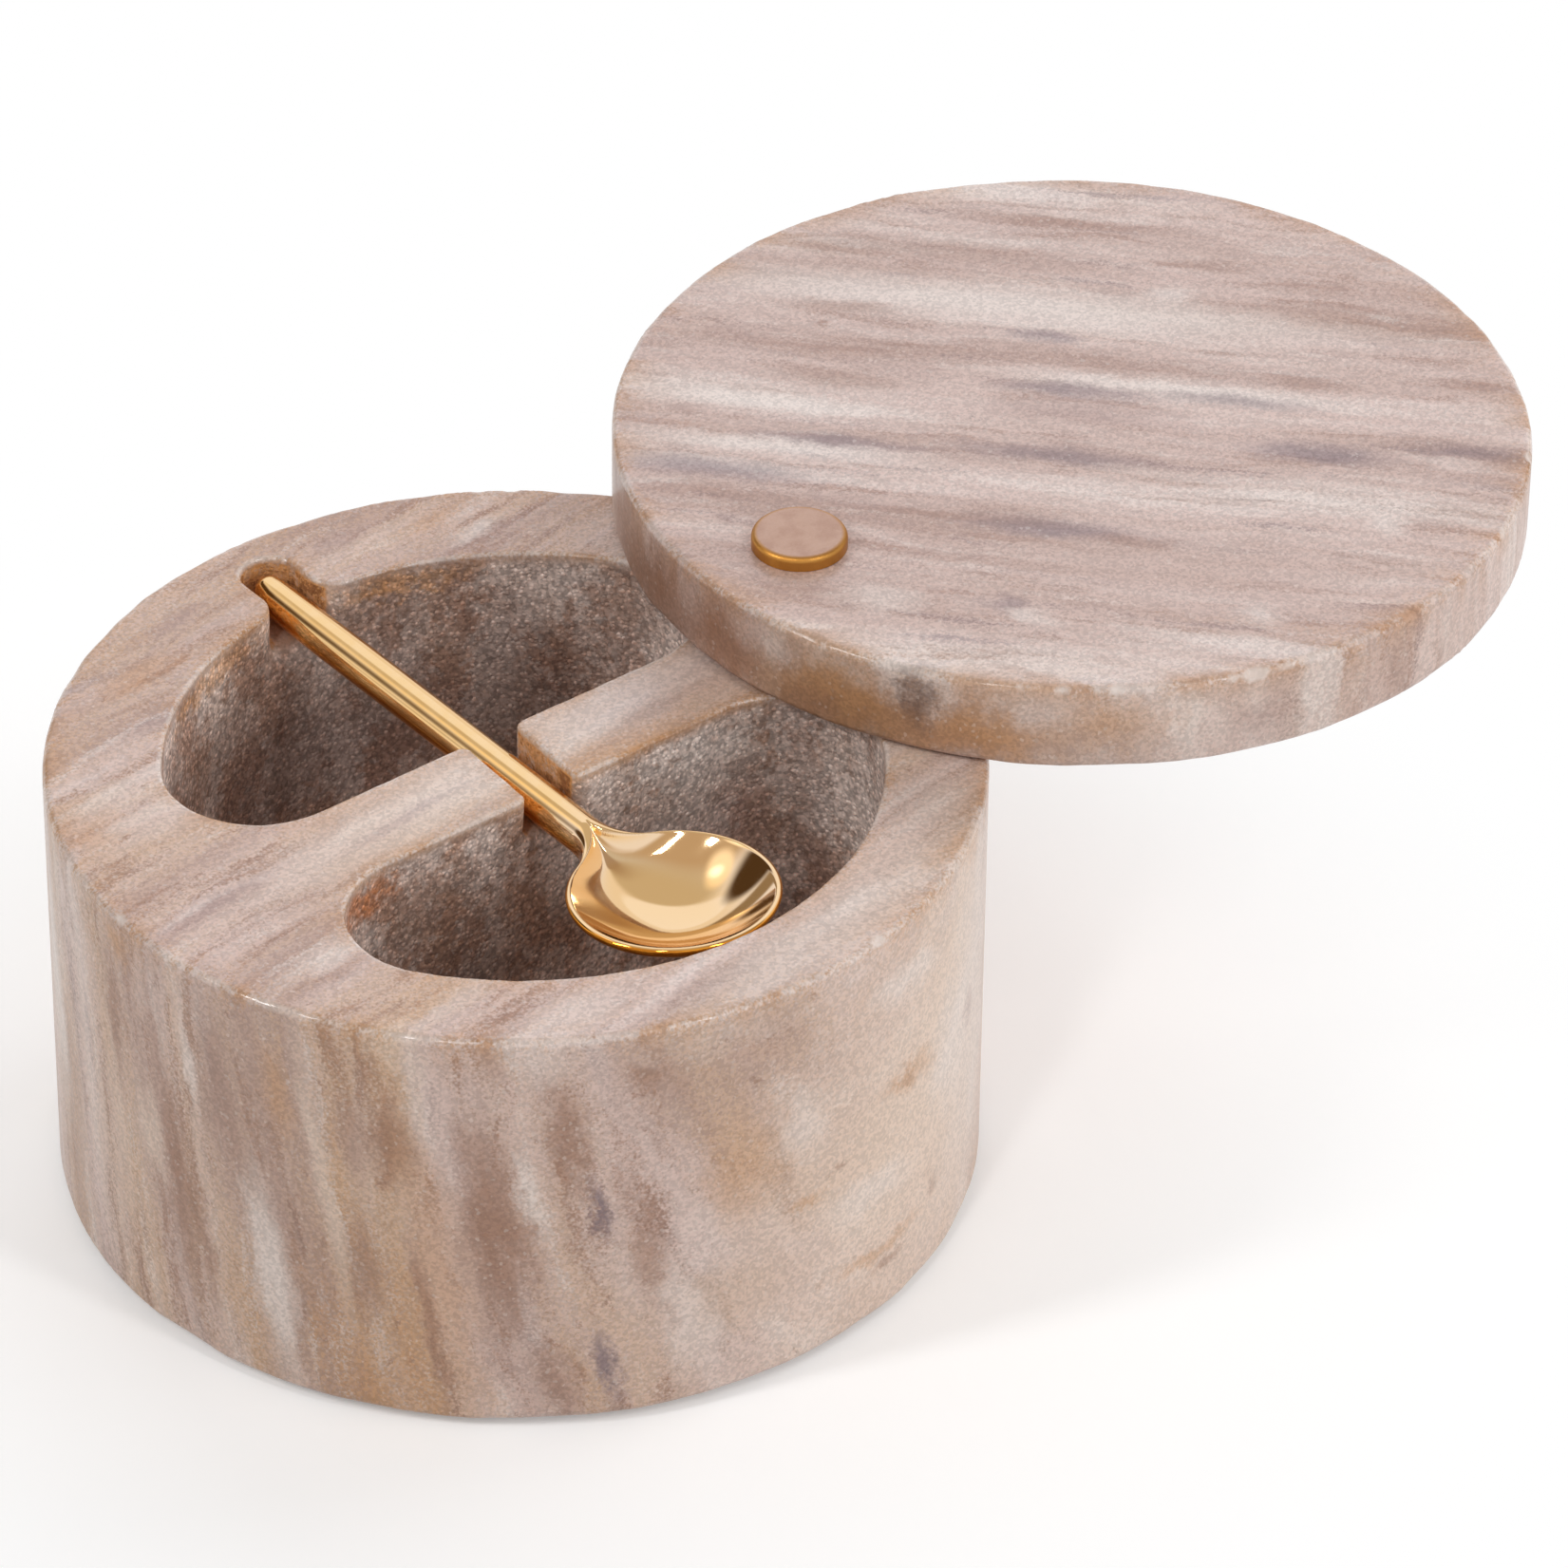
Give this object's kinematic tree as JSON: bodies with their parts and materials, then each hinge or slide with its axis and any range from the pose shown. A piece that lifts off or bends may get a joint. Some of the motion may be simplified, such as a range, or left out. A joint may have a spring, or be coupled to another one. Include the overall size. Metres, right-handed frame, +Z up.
{
  "type": "salt cellar",
  "caption": "Round stone salt cellar with divided wells, a stone lid that swivels on a brass pivot, and a small gold spoon lying in a slot.",
  "frame": {"origin": "centre of the foot pad's underside, on the table, on the axis of the round base", "axes": "+Z up; +X from the base's axis towards the lid's pivot, where the open lid lies; the spoon lies along Y with its bowl towards -Y"},
  "size_m": [0.1768, 0.1006, 0.0632],
  "materials": {
    "marble": "honed and polished outside, rough in the wells",
    "screw_brass": "satin, coppery",
    "insert_brass": "plain",
    "washer_plastic": "matt",
    "spoon_gold": "polished gold",
    "pad_rubber": "matt"
  },
  "bodies": {
    "body": {"base": "marble", "threaded_insert": "insert_brass", "pivot_screw": "screw_brass", "spacer_washer": "washer_plastic", "foot_pad": "pad_rubber"},
    "lid": {"lid": "marble"},
    "spoon": {"spoon": "spoon_gold"}
  },
  "joints": [
    {"name": "lid_swivel", "type": "hinge", "parent": "body", "child": "lid", "pos_m": [0.03825, 0, 0.0513], "axis": [0, 0, 1], "continuous": true},
    {"name": "spoon_lift", "type": "slide", "parent": "body", "child": "spoon", "axis": [0, 0, 1], "range_m": [0, 0.08]}
  ]
}
